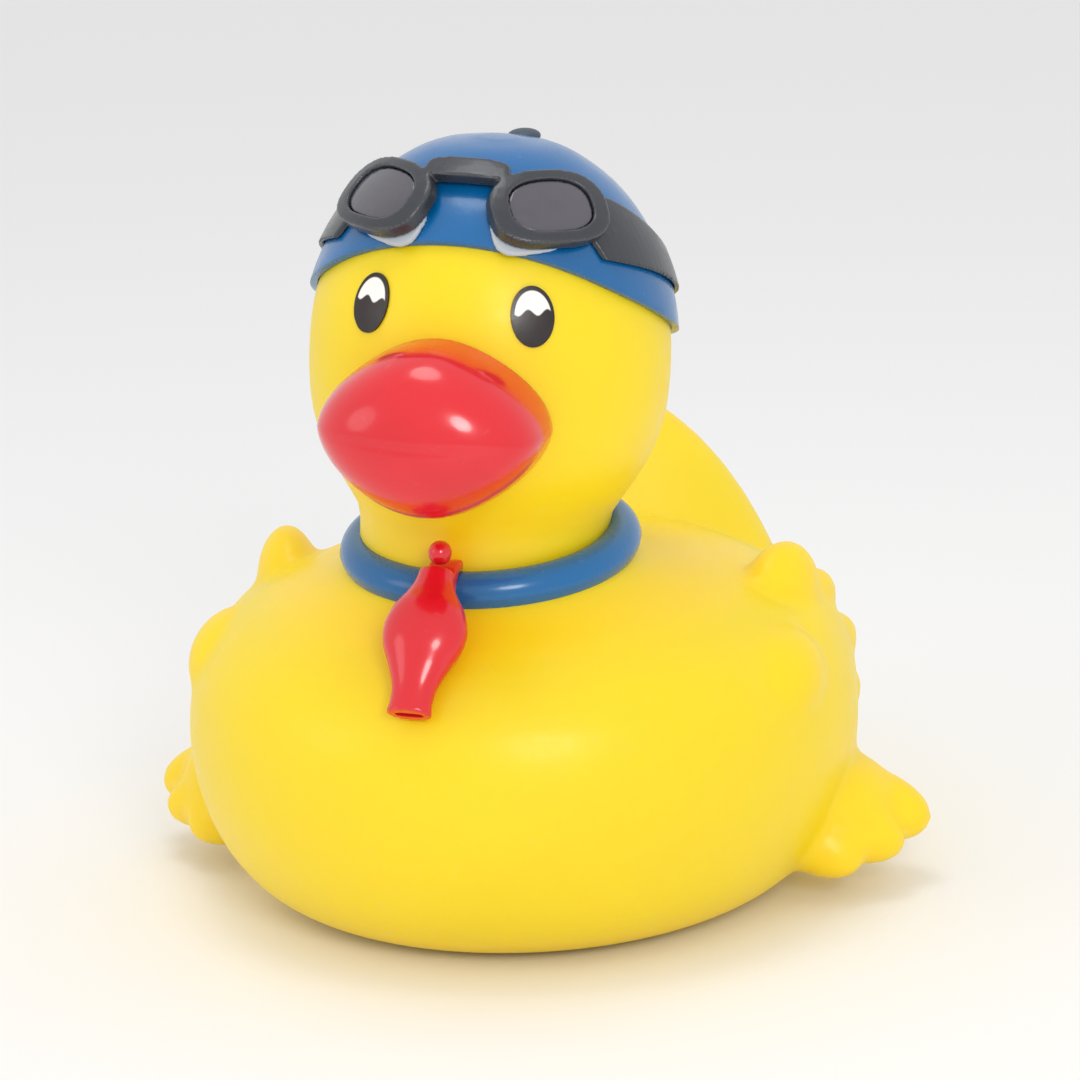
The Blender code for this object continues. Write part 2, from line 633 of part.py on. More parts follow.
def build_canister(finish, rubber, steel, weight_finish):
    low, high = FLANGE
    can = place("tablet_canister", turned([
        (CAN_INNER, low), (FLANGE_RADIUS, low), (FLANGE_RADIUS, high), (CAN_OUTER, high),
        (CAN_OUTER, CAN_TOP - 0.004), (CAN_OUTER - 0.004, CAN_TOP), (0, CAN_TOP),
        (0, CAN_TOP - 0.0025), (CAN_INNER - 0.003, CAN_TOP - 0.0025), (CAN_INNER, CAN_TOP - 0.0055),
    ], 24), finish)
    holes = []
    for n in range(SCREW_COUNT):
        outline = [(0, 0), (0.0040, 0), (0.0040, low + 0.0004), (SCREW_RADIUS + GAP, low + 0.0026),
                   (SCREW_RADIUS + GAP, 0.012), (0, 0.012)]
        holes.append(guide(f"flange_hole_{n}", turned(outline, 8, screw_place(n))))
    slot = prism(box_outline(LOCK_STEM[0] + GAP, LOCK_STEM[1] - LOCK_TRAVEL - GAP, LOCK_STEM[2] + GAP),
                 FLAT, 0.0, high + 0.001)
    combine(can, "DIFFERENCE", *holes, guide("lock_slot", slot))
    gasket = place("belly_gasket", pipe(CAN_OUTER + GAP, FLANGE_RADIUS, *GASKET, 24), rubber)
    pierce = [
        guide(f"gasket_hole_{n}", drum(SCREW_RADIUS + GAP, 0.005, 0.012, 8, screw_place(n)))
        for n in range(SCREW_COUNT)
    ]
    combine(gasket, "DIFFERENCE", *pierce)
    for n in range(SCREW_COUNT):
        screw = place(f"flange_screw_{n + 1}", turned([
            (0, low + 0.0004), (0.0034, low + 0.0004), (0.0034, low + 0.0007),
            (SCREW_RADIUS, low + 0.0026), (SCREW_RADIUS, SCREW_TOP - 0.001), (0, SCREW_TOP),
        ], 8, screw_place(n)), steel)
        x, y = screw_place(n)
        slot_cut = prism([(x - 0.004, y - 0.0004), (x + 0.004, y - 0.0004),
                          (x + 0.004, y + 0.0004), (x - 0.004, y + 0.0004)], FLAT, 0.0, low + 0.0011)
        combine(screw, "DIFFERENCE", guide(f"screw_slot_{n + 1}", slot_cut))
    for middle, word in ((0.0, "left"), (math.pi, "right")):
        form = prism(sector(0.0630, 0.0800, middle, math.radians(100), 8), FLAT,
                     CAVITY_BOTTOM + GAP, CAVITY_BOTTOM + 0.012)
        place(f"ballast_{word}", form, weight_finish)


def build_refill_cap(finish, dial_finish, rubber, lock_finish):
    """The screw cap with its vent slots, its dial, rivet, seal, tablet grid and lock."""
    plate_low, plate_high = CAP_PLATE
    skirt_in, skirt_out = CAP_SKIRT
    web_low, web_high = CAP_WEB
    groove = skirt_out - 0.0016
    cap = place("refill_cap", turned([
        (DIAL_RADIUS + GAP, plate_low), (CAP_GRIP_RADIUS, plate_low), (CAP_GRIP_RADIUS, plate_high),
        (skirt_out, plate_high), (skirt_out, ORING_Z[0] - GAP), (groove, ORING_Z[0] - GAP),
        (groove, ORING_Z[1] + GAP), (skirt_out, ORING_Z[1] + GAP), (skirt_out, CAP_SKIRT_TOP),
        (skirt_in, CAP_SKIRT_TOP), (skirt_in, web_high), (0, web_high), (0, web_low),
        (DIAL_RADIUS + GAP, web_low),
    ], 24), finish)
    place("cap_seal", pipe(groove + 0.0008, CAN_INNER - 2 * GAP, *ORING_Z, 24), rubber)
    dial = place("vent_dial", turned([
        (0, DIAL[0]), (DIAL_RADIUS, DIAL[0]), (DIAL_RADIUS, DIAL[1]), (0, DIAL[1])], 24), dial_finish)
    pivot = guide("pivot_hole", drum(0.0027 + GAP, -0.01, 0.03, 12))
    combine(cap, "DIFFERENCE", pivot)
    handle = prism(box_outline(0.0034, -0.0125, 0.0125), FLAT, 0.0004, DIAL[0] + 0.0011)
    pivot_radius, pocket_top = 0.0027 + GAP, DIAL[0] + 0.0005
    counterbore = guide("rivet_pocket", turned([
        (0, -0.01), (0.0051, -0.01), (0.0051, pocket_top), (pivot_radius, pocket_top),
        (pivot_radius, 0.03), (0, 0.03),
    ], 15))
    combine(dial, "UNION", guide("dial_handle", handle))
    combine(dial, "DIFFERENCE", counterbore)
    for n in range(VENT_COUNT):
        middle = 2 * math.pi * n / VENT_COUNT
        outline = sector(*VENT_RADII, middle + math.pi / 6, VENT_SPREAD)
        vent = guide(f"vent_{n}", prism(outline, FLAT, -0.010, 0.012))
        combine(cap, "DIFFERENCE", vent)
        combine(dial, "DIFFERENCE", vent)
    for n in range(12):
        angle = 2 * math.pi * n / 12
        reach = CAP_GRIP_RADIUS + 0.0015
        centre = (reach * math.cos(angle), reach * math.sin(angle))
        combine(cap, "DIFFERENCE", guide(f"grip_{n}", drum(0.0040, -0.01, 0.010, 7, centre)))
    place("dial_rivet", turned([
        (0, 0.0010), (0.0045, 0.0010), (0.0045, 0.0018), (0.0027, 0.0018),
        (0.0027, web_high + GAP), (0.0042, web_high + GAP), (0.0030, web_high + 0.0020),
        (0, web_high + 0.0022),
    ], 16), finish)
    grid = place("tablet_grid", turned([
        (0, GRID[0]), (skirt_out - 0.0010, GRID[0]), (skirt_out - 0.0010, GRID[1]), (0, GRID[1]),
    ], 24), finish)
    for n in range(5):
        y = (n - 2) * 0.0120
        reach = 0.030 if abs(n - 2) < 2 else 0.022
        outline = [(-reach, y - 0.003), (reach, y - 0.003), (reach, y + 0.003), (-reach, y + 0.003)]
        combine(grid, "DIFFERENCE", guide(f"grid_slot_{n}", prism(outline, FLAT, 0.015, 0.022)))
    low, high = FLANGE
    lock = place("cap_lock", prism(box_outline(*LOCK_SLAB), FLAT, plate_low, plate_high), lock_finish)
    tongue = guide("lock_tongue", prism(box_outline(*LOCK_TONGUE), FLAT, plate_low, plate_high))
    stem = guide("lock_stem", prism(box_outline(*LOCK_STEM), FLAT, plate_high - 0.001, high - GAP))
    combine(lock, "UNION", tongue, stem)


def build_all():
    clear_scene()
    yellow = material("vinyl_yellow", (1.0, 0.68, 0.01), 0.38)
    blue = material("cap_blue", (0.0, 0.14, 0.42), 0.28)
    black = material("goggle_black", (0.03, 0.03, 0.035), 0.30)
    smoke = material("lens_smoke", (0.08, 0.08, 0.10), 0.15)
    grey = material("pad_grey", (0.45, 0.48, 0.50), 0.5)
    red = material("beak_red", (0.72, 0.02, 0.03), 0.25)
    eye = material("eye_paint", (0.02, 0.015, 0.015), 0.25)
    white = material("canister_white", (0.80, 0.80, 0.78), 0.40)
    rubber = material("seal_black", (0.02, 0.02, 0.02), 0.6)
    steel = material("screw_steel", (0.60, 0.60, 0.58), 0.30, 1.0)
    iron = material("ballast_iron", (0.20, 0.20, 0.20), 0.6, 1.0)
    groove = cord_groove("cord_groove")
    relief = loop_relief("loop_relief")
    build_body(yellow, groove, relief)
    build_head(yellow, groove, relief)
    already = set(bpy.data.objects)
    build_cap(blue, black)
    build_face(red, eye)
    build_goggles(black, smoke, grey)
    lean(*[thing for thing in bpy.data.objects if thing not in already])
    build_neck(blue, red, rubber)
    build_canister(white, rubber, steel, iron)
    build_refill_cap(white, blue, rubber, red)


build_all()
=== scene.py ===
import math

import bmesh
import bpy
from bpy.props import FloatProperty, FloatVectorProperty, IntProperty, PointerProperty
from mathutils import Matrix, Vector


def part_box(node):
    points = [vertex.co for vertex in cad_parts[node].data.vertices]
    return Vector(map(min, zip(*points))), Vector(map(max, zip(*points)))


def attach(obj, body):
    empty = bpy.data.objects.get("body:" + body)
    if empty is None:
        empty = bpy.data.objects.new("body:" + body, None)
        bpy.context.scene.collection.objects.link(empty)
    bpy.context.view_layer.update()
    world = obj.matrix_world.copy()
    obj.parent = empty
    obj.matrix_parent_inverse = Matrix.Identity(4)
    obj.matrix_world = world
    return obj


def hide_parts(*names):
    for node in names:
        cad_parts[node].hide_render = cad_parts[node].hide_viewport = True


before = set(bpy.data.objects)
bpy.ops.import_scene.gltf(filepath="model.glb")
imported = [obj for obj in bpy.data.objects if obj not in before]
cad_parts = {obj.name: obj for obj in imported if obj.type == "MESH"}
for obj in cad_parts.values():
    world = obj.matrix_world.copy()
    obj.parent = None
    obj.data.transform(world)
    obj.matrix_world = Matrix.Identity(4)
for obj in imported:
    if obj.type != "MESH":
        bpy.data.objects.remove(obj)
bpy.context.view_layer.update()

bl_info = {
    "name": "Floating duck dispenser",
    "version": (1, 0, 0),
    "blender": (4, 5, 0),
    "location": "3D View > Sidebar > Duck",
    "description": "Builds the finished look of a duck-shaped floating chlorine dispenser",
    "category": "Object",
}

# ---------------------------------------------------------------- sizes (metres)
WALL = 0.003
GAP = 0.0003
NECK_Y = -0.041
NECK_SEAM = 0.1293
CAP_THICK = 0.0025
UP = Vector((0, 0, 1))

# body: height, half width, front reach, back reach
BODY_LEVELS = [
    (0.0000, 0.080, -0.086, 0.084),
    (0.0040, 0.092, -0.099, 0.096),
    (0.0140, 0.104, -0.112, 0.108),
    (0.0300, 0.113, -0.123, 0.117),
    (0.0500, 0.118, -0.130, 0.122),
    (0.0700, 0.118, -0.131, 0.123),
    (0.0870, 0.113, -0.127, 0.119),
    (0.1000, 0.102, -0.118, 0.108),
    (0.1100, 0.086, -0.107, 0.090),
    (0.1180, 0.069, -0.095, 0.060),
    (0.1240, 0.056, -0.0885, 0.026),
    (0.1290, 0.0475, -0.0850, 0.006),
]
BODY_STEPS = 30
CAVITY = (0.014, 0.107)

# tail: height, half width, front reach, back reach
TAIL_LEVELS = [
    (0.0700, 0.084, 0.030, 0.1205),
    (0.0920, 0.076, 0.045, 0.1275),
    (0.1080, 0.065, 0.064, 0.1325),
    (0.1200, 0.054, 0.082, 0.1355),
    (0.1310, 0.042, 0.098, 0.1365),
    (0.1420, 0.026, 0.112, 0.1365),
    (0.1500, 0.010, 0.124, 0.1335),
]

# head: height, half width, half depth
HEAD_LEVELS = [
    (0.1293, 0.0430, 0.0425),
    (0.1450, 0.0435, 0.0430),
    (0.1560, 0.0500, 0.0485),
    (0.1670, 0.0560, 0.0545),
    (0.1780, 0.0597, 0.0580),
    (0.1900, 0.0612, 0.0595),
    (0.2050, 0.0612, 0.0597),
    (0.2180, 0.0595, 0.0585),
    (0.2300, 0.0557, 0.0550),
    (0.2420, 0.0497, 0.0490),
    (0.2540, 0.0405, 0.0400),
    (0.2630, 0.0290, 0.0285),
    (0.2680, 0.0180, 0.0176),
    (0.2698, 0.0060, 0.0058),
]
HEAD_STEPS = 40
HEAD_CAVITY = 0.156
HEAD_LEAN = math.radians(4)
HEAD_SHIFT = Vector((-0.0020, 0, 0))
LEAN_PIVOT = Vector((0, NECK_Y, 0.1350))
SPIGOT_RADIUS = 0.0381
SPIGOT_BORE = 0.0335
SPIGOT_FOOT = 0.1120
SPIGOT_TOP = 0.1450            # well inside the head, so that the join is clear
BORE_REACH = (0.100, 0.163)
HEAD_TRIM_RADIUS = 0.075       # what the lean pushes below the neck seam is cut off

# cap rim and goggle strap seen from the side: (y, z)
CAP_RIM = [(-0.0960, 0.2500), (-0.0840, 0.2395), (-0.0670, 0.2275), (-0.0400, 0.2145),
           (0.0000, 0.2005), (0.0300, 0.1925)]
STRAP_TOP = [(-0.0720, 0.2660), (-0.0520, 0.2560), (-0.0280, 0.2390), (0.0350, 0.2065)]
STRAP_FOOT = [(-0.0720, 0.2400), (-0.0500, 0.2330), (-0.0280, 0.2245), (0.0350, 0.1990)]

CUP_CENTRE = Vector((0.0255, -0.0740, 0.2525))
CUP_NORMAL = Vector((0.46, -0.56, 0.69)).normalized()
CUP_HALF = (0.0205, 0.0140)
LENS_HALF = (0.0142, 0.0096)
LENS_LEDGE = 0.0020            # how far the lens rests on the cup, all round
PAD_HALF = (0.0122, 0.0088)
PAD_SHIFT = (-0.0078, -0.0052)
BAR_CENTRE = Vector((0, -0.0720, 0.2610))
BAR_FACING = Vector((0, -0.62, 0.78))
BAR_HALF = (0.0140, 0.0042)
STRAP_LAP = 0.0012             # how far the strap runs in under each cup
WEAR_GAIN = 6e-4               # edge wear per unit of convexity

# what lies on the cap: heights of the underside and the top above the head
PAD_SKIN = (0.0031, 0.0046)
FRAME_SKIN = (0.0049, 0.0095)
LENS_SKIN = (0.0062, 0.0082)
STRAP_SKIN = (0.0031, 0.0049)

BEAK_CENTRE = Vector((-0.001, -0.104, 0.1870))
BEAK_RADII = (0.0375, 0.0328, 0.0285)
EYE_CENTRE = Vector((0.0262, -0.0900, 0.2230))
EYE_HALF = (0.0072, 0.0100)
# the eye's painted white, in shares of the eye's half height and half width
WHITE_FOOT = 0.10
WHITE_REACH = 0.74
WHITE_WAVES = 7.0
WHITE_WAVE_HEIGHT = 0.10

CORD_Z = 0.1325
CORD_RADIUS = 0.0450
CORD_THICK = 0.0068
CORD_TILT = math.radians(7.5)
WHISTLE_X = -0.003
WHISTLE_DIRECTION = Vector((0, -0.632, -0.775)).normalized()
WHISTLE_OUT = Vector((0, -0.775, 0.632)).normalized()
WHISTLE_LEAD = 0.0145
WHISTLE_LEAN = Vector((-0.04, 0, 0))
WHISTLE_STEPS = 28
# whistle: distance down from the cord, half width, half thickness
WHISTLE_LEVELS = [
    (-0.0010, 0.0058, 0.0044),
    (0.0040, 0.0068, 0.0052),
    (0.0080, 0.0088, 0.0064),
    (0.0130, 0.0120, 0.0086),
    (0.0200, 0.0142, 0.0094),
    (0.0270, 0.0134, 0.0090),
    (0.0340, 0.0102, 0.0070),
    (0.0410, 0.0076, 0.0056),
    (0.0470, 0.0072, 0.0050),
    (0.0505, 0.0078, 0.0050),
]
LOOP_RADIUS = 0.0106
LOOP_EYE = 0.0076
LOOP_HALF = 0.0051

# holes in the body, from below the floor up
BELOW_FLOOR = -0.010
RECESS_RADIUS = 0.0600
RECESS_TOP = 0.0100
BELLY_HOLE = 0.0465
NECK_HOLE_REACH = (0.104, 0.160)
SCREW_COUNT = 6
SCREW_CIRCLE = 0.0530
SCREW_HOLE = 0.0019
SCREW_REACH = (0.005, 0.0193)
BOSS_RADIUS = 0.0045
BOSS_REACH = (0.010, 0.0215)

# camera: the viewing angle, its lean, distance, lens and where it looks
VIEW_AZIMUTH = 15.0
VIEW_ELEVATION = 14.5
VIEW_LEAN = 2.0
VIEW_DISTANCE = 1.3
VIEW_LENS = 123.0
VIEW_TARGET = Vector((0, -0.010, 0.120))
VIEW_OFFSET = (0.0088, 0.0046)


class DuckSettings(bpy.types.PropertyGroup):
    """Colours and finish that a user would change"""

    vinyl: FloatVectorProperty(
        name="Vinyl", description="Colour of the moulded body and head",
        subtype="COLOR", size=3, min=0, max=1, default=(0.98, 0.68, 0.006))
    cap: FloatVectorProperty(
        name="Cap and cord", description="Colour of the swim cap, the cord and the dial",
        subtype="COLOR", size=3, min=0, max=1, default=(0.001, 0.130, 0.37))
    beak: FloatVectorProperty(
        name="Beak and whistle", description="Colour of the beak, the whistle and the lock",
        subtype="COLOR", size=3, min=0, max=1, default=(0.72, 0.008, 0.018))
    voxel: FloatProperty(
        name="Moulding detail", description="Size of the grid the body is fused on",
        unit="LENGTH", min=0.0012, max=0.004, default=0.0018)
    fillet: IntProperty(
        name="Fillet", description="Smoothing passes where the wings, tail and feet meet the body",
        min=0, max=60, default=14)


def settings():
    return bpy.context.scene.duck


# ---------------------------------------------------------------- modelling helpers
def only(*things):
    bpy.ops.object.select_all(action="DESELECT")
    for thing in things:
        thing.select_set(True)
    bpy.context.view_layer.objects.active = things[0]


def settle(thing):
    """Put a finished piece's origin at the world's, unturned and unscaled."""
    only(thing)
    bpy.ops.object.transform_apply(location=True, rotation=True, scale=True)


def apply_modifier(thing, name, kind, **values):
    only(thing)
    modifier = thing.modifiers.new(name, kind)
    for key, value in values.items():
        setattr(modifier, key, value)
    bpy.ops.object.modifier_apply(modifier=modifier.name)


def cut(thing, operation, *tools):
    """Join, cut or intersect with other forms, which are used up."""
    for tool in tools:
        apply_modifier(thing, "combine", "BOOLEAN", operation=operation, solver="EXACT", object=tool)
        bpy.data.objects.remove(tool, do_unlink=True)


def fuse(thing, voxel, passes, factor=0.5):
    """Fuse overlapping forms into one skin with soft moulded edges."""
    apply_modifier(thing, "fuse", "REMESH", mode="VOXEL", voxel_size=voxel, use_smooth_shade=True)
    if passes:
        apply_modifier(thing, "soften", "SMOOTH", factor=factor, iterations=passes)


def join(thing, *others):
    only(thing, *others)
    bpy.ops.object.join()
    return thing


def smooth(thing, angle=40):
    only(thing)
    bpy.ops.object.shade_smooth_by_angle(angle=math.radians(angle))


def between(rows, height):
    """A smooth row of values at a height, through the stated rows."""
    last = len(rows) - 1
    index = 0
    while index < last - 1 and height > rows[index + 1][0]:
        index += 1
    low, high = rows[index], rows[index + 1]
    before = rows[max(index - 1, 0)]
    after = rows[min(index + 2, last)]
    span = high[0] - low[0]
    t = (height - low[0]) / span
    values = []
    for k in range(1, len(low)):
        slope_low = (high[k] - before[k]) / (high[0] - before[0]) * span
        slope_high = (after[k] - low[k]) / (after[0] - low[0]) * span
        values.append(
            (2 * t**3 - 3 * t**2 + 1) * low[k] + (t**3 - 2 * t**2 + t) * slope_low
            + (3 * t**2 - 2 * t**3) * high[k] + (t**3 - t**2) * slope_high
        )
    return values


def loft(name, rings, sides):
    """Extrude a disc upward through rings of (height, half width, front, back)."""
    height, half, front, back = rings[0]
    bpy.ops.object.select_all(action="DESELECT")
    bpy.ops.mesh.primitive_circle_add(
        vertices=sides, radius=1, fill_type="NGON", location=(0, (front + back) / 2, height))
    thing = bpy.context.object
    thing.name = name
    thing.scale = (half, (back - front) / 2, 1)
    bpy.ops.object.transform_apply(location=True, rotation=True, scale=True)
    bpy.ops.object.mode_set(mode="EDIT")
    bpy.ops.mesh.select_all(action="SELECT")
    for next_height, next_half, next_front, next_back in rings[1:]:
        middle = (next_front + next_back) / 2
        move = (0, middle - (front + back) / 2, next_height - height)
        bpy.ops.mesh.extrude_region_move(TRANSFORM_OT_translate={"value": move})
        grow = (next_half / half, (next_back - next_front) / (back - front), 1)
        bpy.ops.transform.resize(value=grow, center_override=(0, middle, next_height))
        height, half, front, back = next_height, next_half, next_front, next_back
    bpy.ops.mesh.select_all(action="SELECT")
    bpy.ops.mesh.normals_make_consistent(inside=False)
    bpy.ops.object.mode_set(mode="OBJECT")
    return thing


def spread(low, high, steps):
    """Heights between two limits, closer together near both."""
    return [low + (high - low) * (1 - math.cos(math.pi * i / (steps - 1))) / 2 for i in range(steps)]


def body_loft(name, inset=0.0, low=BODY_LEVELS[0][0], high=BODY_LEVELS[-1][0], steps=BODY_STEPS, sides=96):
    rings = []
    for height in spread(low, high, steps):
        half, front, back = between(BODY_LEVELS, height)
        rings.append((height, half - inset, front + inset, back - inset))
    return loft(name, rings, sides)


def tail_loft(name, inset=0.0, high=TAIL_LEVELS[-1][0], steps=14, sides=48):
    rings = []
    for height in spread(TAIL_LEVELS[0][0], high, steps):
        half, front, back = between(TAIL_LEVELS, height)
        rings.append((height, half - inset, front + inset, back - inset))
    return loft(name, rings, sides)


def head_loft(name, offset=0.0, low=NECK_SEAM, steps=HEAD_STEPS, sides=96):
    """The head's outside, moved out or in along its own normals."""
    crown = HEAD_LEVELS[-1][0]
    rings = []
    for i in range(steps):
        height = low + (crown - low) * math.sin(math.pi / 2 * i / (steps - 1))
        half, depth = between(HEAD_LEVELS, height)
        rings.append((height, half, NECK_Y - depth, NECK_Y + depth))
    thing = loft(name, rings, sides)
    if offset:
        apply_modifier(thing, "offset", "DISPLACE", strength=offset, mid_level=0.0)
    return thing


def frame_of(direction, centre, hint=UP):
    """A matrix whose Z is the direction and whose X is level, or square to the hint."""
    z = direction.normalized()
    x = hint.cross(z).normalized()
    y = z.cross(x)
    matrix = Matrix((x, y, z)).transposed().to_4x4()
    matrix.translation = centre
    return matrix


def lump(start, end, half_width, half_height):
    """An egg shape whose long axis runs from start to end."""
    start, end = Vector(start), Vector(end)
    along = end - start
    matrix = frame_of(along, (start + end) / 2)
    bpy.ops.object.select_all(action="DESELECT")
    bpy.ops.mesh.primitive_uv_sphere_add(segments=40, ring_count=24, radius=1)
    thing = bpy.context.object
    thing.matrix_world = matrix @ Matrix.Diagonal((half_width, half_height, along.length / 2, 1))
    settle(thing)
    return thing


def drum(radius, low, high, centre=(0, 0), sides=64):
    bpy.ops.object.select_all(action="DESELECT")
    bpy.ops.mesh.primitive_cylinder_add(
        vertices=sides, radius=radius, depth=high - low, location=(*centre, (low + high) / 2))
    thing = bpy.context.object
    settle(thing)
    return thing


def rounded(half_x, half_y, sides=64, power=2.6, centre=(0, 0)):
    outline = []
    for i in range(sides):
        angle = 2 * math.pi * (i + 0.5) / sides
        c, s = math.cos(angle), math.sin(angle)
        outline.append((
            centre[0] + half_x * math.copysign(abs(c) ** (2 / power), c),
            centre[1] + half_y * math.copysign(abs(s) ** (2 / power), s),
        ))
    return outline


def prism(name, outline, matrix, low, high):
    """Fill an outline of (x, y) and extrude it along the matrix's Z."""
    form = bmesh.new()
    face = form.faces.new([form.verts.new(matrix @ Vector((x, y, low))) for x, y in outline])
    face.select_set(True)
    mesh = bpy.data.meshes.new(name)
    form.to_mesh(mesh)
    form.free()
    thing = bpy.data.objects.new(name, mesh)
    bpy.context.scene.collection.objects.link(thing)
    only(thing)
    bpy.ops.object.mode_set(mode="EDIT")
    bpy.ops.mesh.select_all(action="SELECT")
    reach = matrix.to_3x3() @ Vector((0, 0, high - low))
    bpy.ops.mesh.extrude_region_move(TRANSFORM_OT_translate={"value": reach})
    bpy.ops.mesh.select_all(action="SELECT")
    bpy.ops.mesh.normals_make_consistent(inside=False)
    bpy.ops.object.mode_set(mode="OBJECT")
    return thing


SIDE_VIEW = Matrix(((0, 0, 1, 0), (1, 0, 0, 0), (0, 1, 0, 0), (0, 0, 0, 1)))


def curve_through(points, steps=8):
    """A smooth line through stated points of (y, z)."""
    line = []
    for (y_low, _), (y_high, _) in zip(points, points[1:]):
        line += [y_low + (y_high - y_low) * i / steps for i in range(steps)]
    line.append(points[-1][0])
    return [(y, between(points, y)[0]) for y in line]


def mark_edges(thing, gain):
    """Store how convex each point is, so that the finish can show wear along edges."""
    form = bmesh.new()
    form.from_mesh(thing.data)
    form.normal_update()
    values = []
    for vert in form.verts:
        total = 0.0
        for edge in vert.link_edges:
            step = edge.other_vert(vert).co - vert.co
            total -= step.dot(vert.normal) / max(step.length_squared, 1e-12)
        values.append(max(0.0, min(1.0, total / max(len(vert.link_edges), 1) * gain)))
    form.free()
    layer = thing.data.attributes.new("edge", "FLOAT", "POINT")
    layer.data.foreach_set("value", values)


# ---------------------------------------------------------------- finishes
def link(tree, source, target):
    tree.links.new(source, target)


def add(tree, kind, **values):
    node = tree.nodes.new(kind)
    for key, value in values.items():
        if key in node.bl_rna.properties:
            setattr(node, key, value)
        else:
            node.inputs[key.replace("_", " ")].default_value = value
    return node


def group_of(name, inputs, outputs):
    tree = bpy.data.node_groups.new(name, "ShaderNodeTree")
    for label, kind, value in inputs:
        socket = tree.interface.new_socket(label, in_out="INPUT", socket_type=kind)
        socket.default_value = value
    for label, kind in outputs:
        tree.interface.new_socket(label, in_out="OUTPUT", socket_type=kind)
    return tree, tree.nodes.new("NodeGroupInput"), tree.nodes.new("NodeGroupOutput")


def moulded_group():
    """Colour drift, gloss drift, fine grain and handling scuffs of a moulded plastic skin."""
    colour, number = "NodeSocketColor", "NodeSocketFloat"
    tree, into, out = group_of(
        "moulded_skin",
        [("Colour", colour, (0.8, 0.8, 0.8, 1)), ("Deep colour", colour, (0.5, 0.5, 0.5, 1)),
         ("Worn colour", colour, (0.9, 0.9, 0.9, 1)), ("Drift scale", number, 9.0),
         ("Grain scale", number, 900.0), ("Grain depth", number, 0.06),
         ("Smoothest", number, 0.25), ("Roughest", number, 0.45)],
        [("Colour", colour), ("Roughness", number), ("Normal", "NodeSocketVector")],
    )
    place = tree.nodes.new("ShaderNodeTexCoord").outputs["Object"]
    drift = add(tree, "ShaderNodeTexNoise", Detail=3.0, Roughness=0.5)
    link(tree, place, drift.inputs["Vector"])
    link(tree, into.outputs["Drift scale"], drift.inputs["Scale"])
    deepen = add(tree, "ShaderNodeMapRange", From_Min=0.52, From_Max=0.80, To_Max=0.55)
    link(tree, drift.outputs["Fac"], deepen.inputs["Value"])
    tone = add(tree, "ShaderNodeMix", data_type="RGBA")
    link(tree, deepen.outputs["Result"], tone.inputs[0])
    link(tree, into.outputs["Colour"], tone.inputs[6])
    link(tree, into.outputs["Deep colour"], tone.inputs[7])
    scuffs = add(tree, "ShaderNodeTexNoise", Scale=70.0, Detail=6.0, Roughness=0.65, Distortion=1.5)
    link(tree, place, scuffs.inputs["Vector"])
    spots = add(tree, "ShaderNodeMapRange", From_Min=0.63, From_Max=0.72)
    link(tree, scuffs.outputs["Fac"], spots.inputs["Value"])
    edge = add(tree, "ShaderNodeAttribute", attribute_name="edge")
    rubbed = add(tree, "ShaderNodeMath", operation="MULTIPLY_ADD")
    link(tree, edge.outputs["Fac"], rubbed.inputs[0])
    link(tree, scuffs.outputs["Fac"], rubbed.inputs[1])
    faint = add(tree, "ShaderNodeMath", operation="MULTIPLY")
    faint.inputs[1].default_value = 0.10
    link(tree, spots.outputs["Result"], faint.inputs[0])
    link(tree, faint.outputs[0], rubbed.inputs[2])
    worn = add(tree, "ShaderNodeMix", data_type="RGBA")
    link(tree, rubbed.outputs[0], worn.inputs[0])
    link(tree, tone.outputs[2], worn.inputs[6])
    link(tree, into.outputs["Worn colour"], worn.inputs[7])
    gloss = add(tree, "ShaderNodeMapRange", From_Min=0.35, From_Max=0.70)
    link(tree, scuffs.outputs["Fac"], gloss.inputs["Value"])
    link(tree, into.outputs["Smoothest"], gloss.inputs["To Min"])
    link(tree, into.outputs["Roughest"], gloss.inputs["To Max"])
    grain = add(tree, "ShaderNodeTexNoise", Detail=2.0)
    link(tree, place, grain.inputs["Vector"])
    link(tree, into.outputs["Grain scale"], grain.inputs["Scale"])
    bump = add(tree, "ShaderNodeBump", Distance=0.0004)
    link(tree, into.outputs["Grain depth"], bump.inputs["Strength"])
    link(tree, grain.outputs["Fac"], bump.inputs["Height"])
    link(tree, worn.outputs[2], out.inputs["Colour"])
    link(tree, gloss.outputs["Result"], out.inputs["Roughness"])
    link(tree, bump.outputs["Normal"], out.inputs["Normal"])
    return tree


def mixed(colour, other, share):
    return tuple(a + (b - a) * share for a, b in zip(colour, other))


def finish(name, colour, deep, worn, drift, grain, depth, gloss, **constants):
    """A moulded finish; what is the same all over is set on the shader itself."""
    made = bpy.data.materials.new(name)
    made.use_nodes = True
    tree = made.node_tree
    shader = tree.nodes["Principled BSDF"]
    skin = tree.nodes.new("ShaderNodeGroup")
    skin.node_tree = bpy.data.node_groups.get("moulded_skin") or moulded_group()
    skin.inputs["Colour"].default_value = (*colour, 1)
    skin.inputs["Deep colour"].default_value = (*[c * deep for c in colour], 1)
    skin.inputs["Worn colour"].default_value = (*mixed(colour, (1, 1, 1), worn), 1)
    skin.inputs["Drift scale"].default_value = drift
    skin.inputs["Grain scale"].default_value = grain
    skin.inputs["Grain depth"].default_value = depth
    skin.inputs["Smoothest"].default_value = gloss[0]
    skin.inputs["Roughest"].default_value = gloss[1]
    link(tree, skin.outputs["Colour"], shader.inputs["Base Color"])
    link(tree, skin.outputs["Roughness"], shader.inputs["Roughness"])
    link(tree, skin.outputs["Normal"], shader.inputs["Normal"])
    for key, value in constants.items():
        shader.inputs[key.replace("_", " ")].default_value = value
    return made


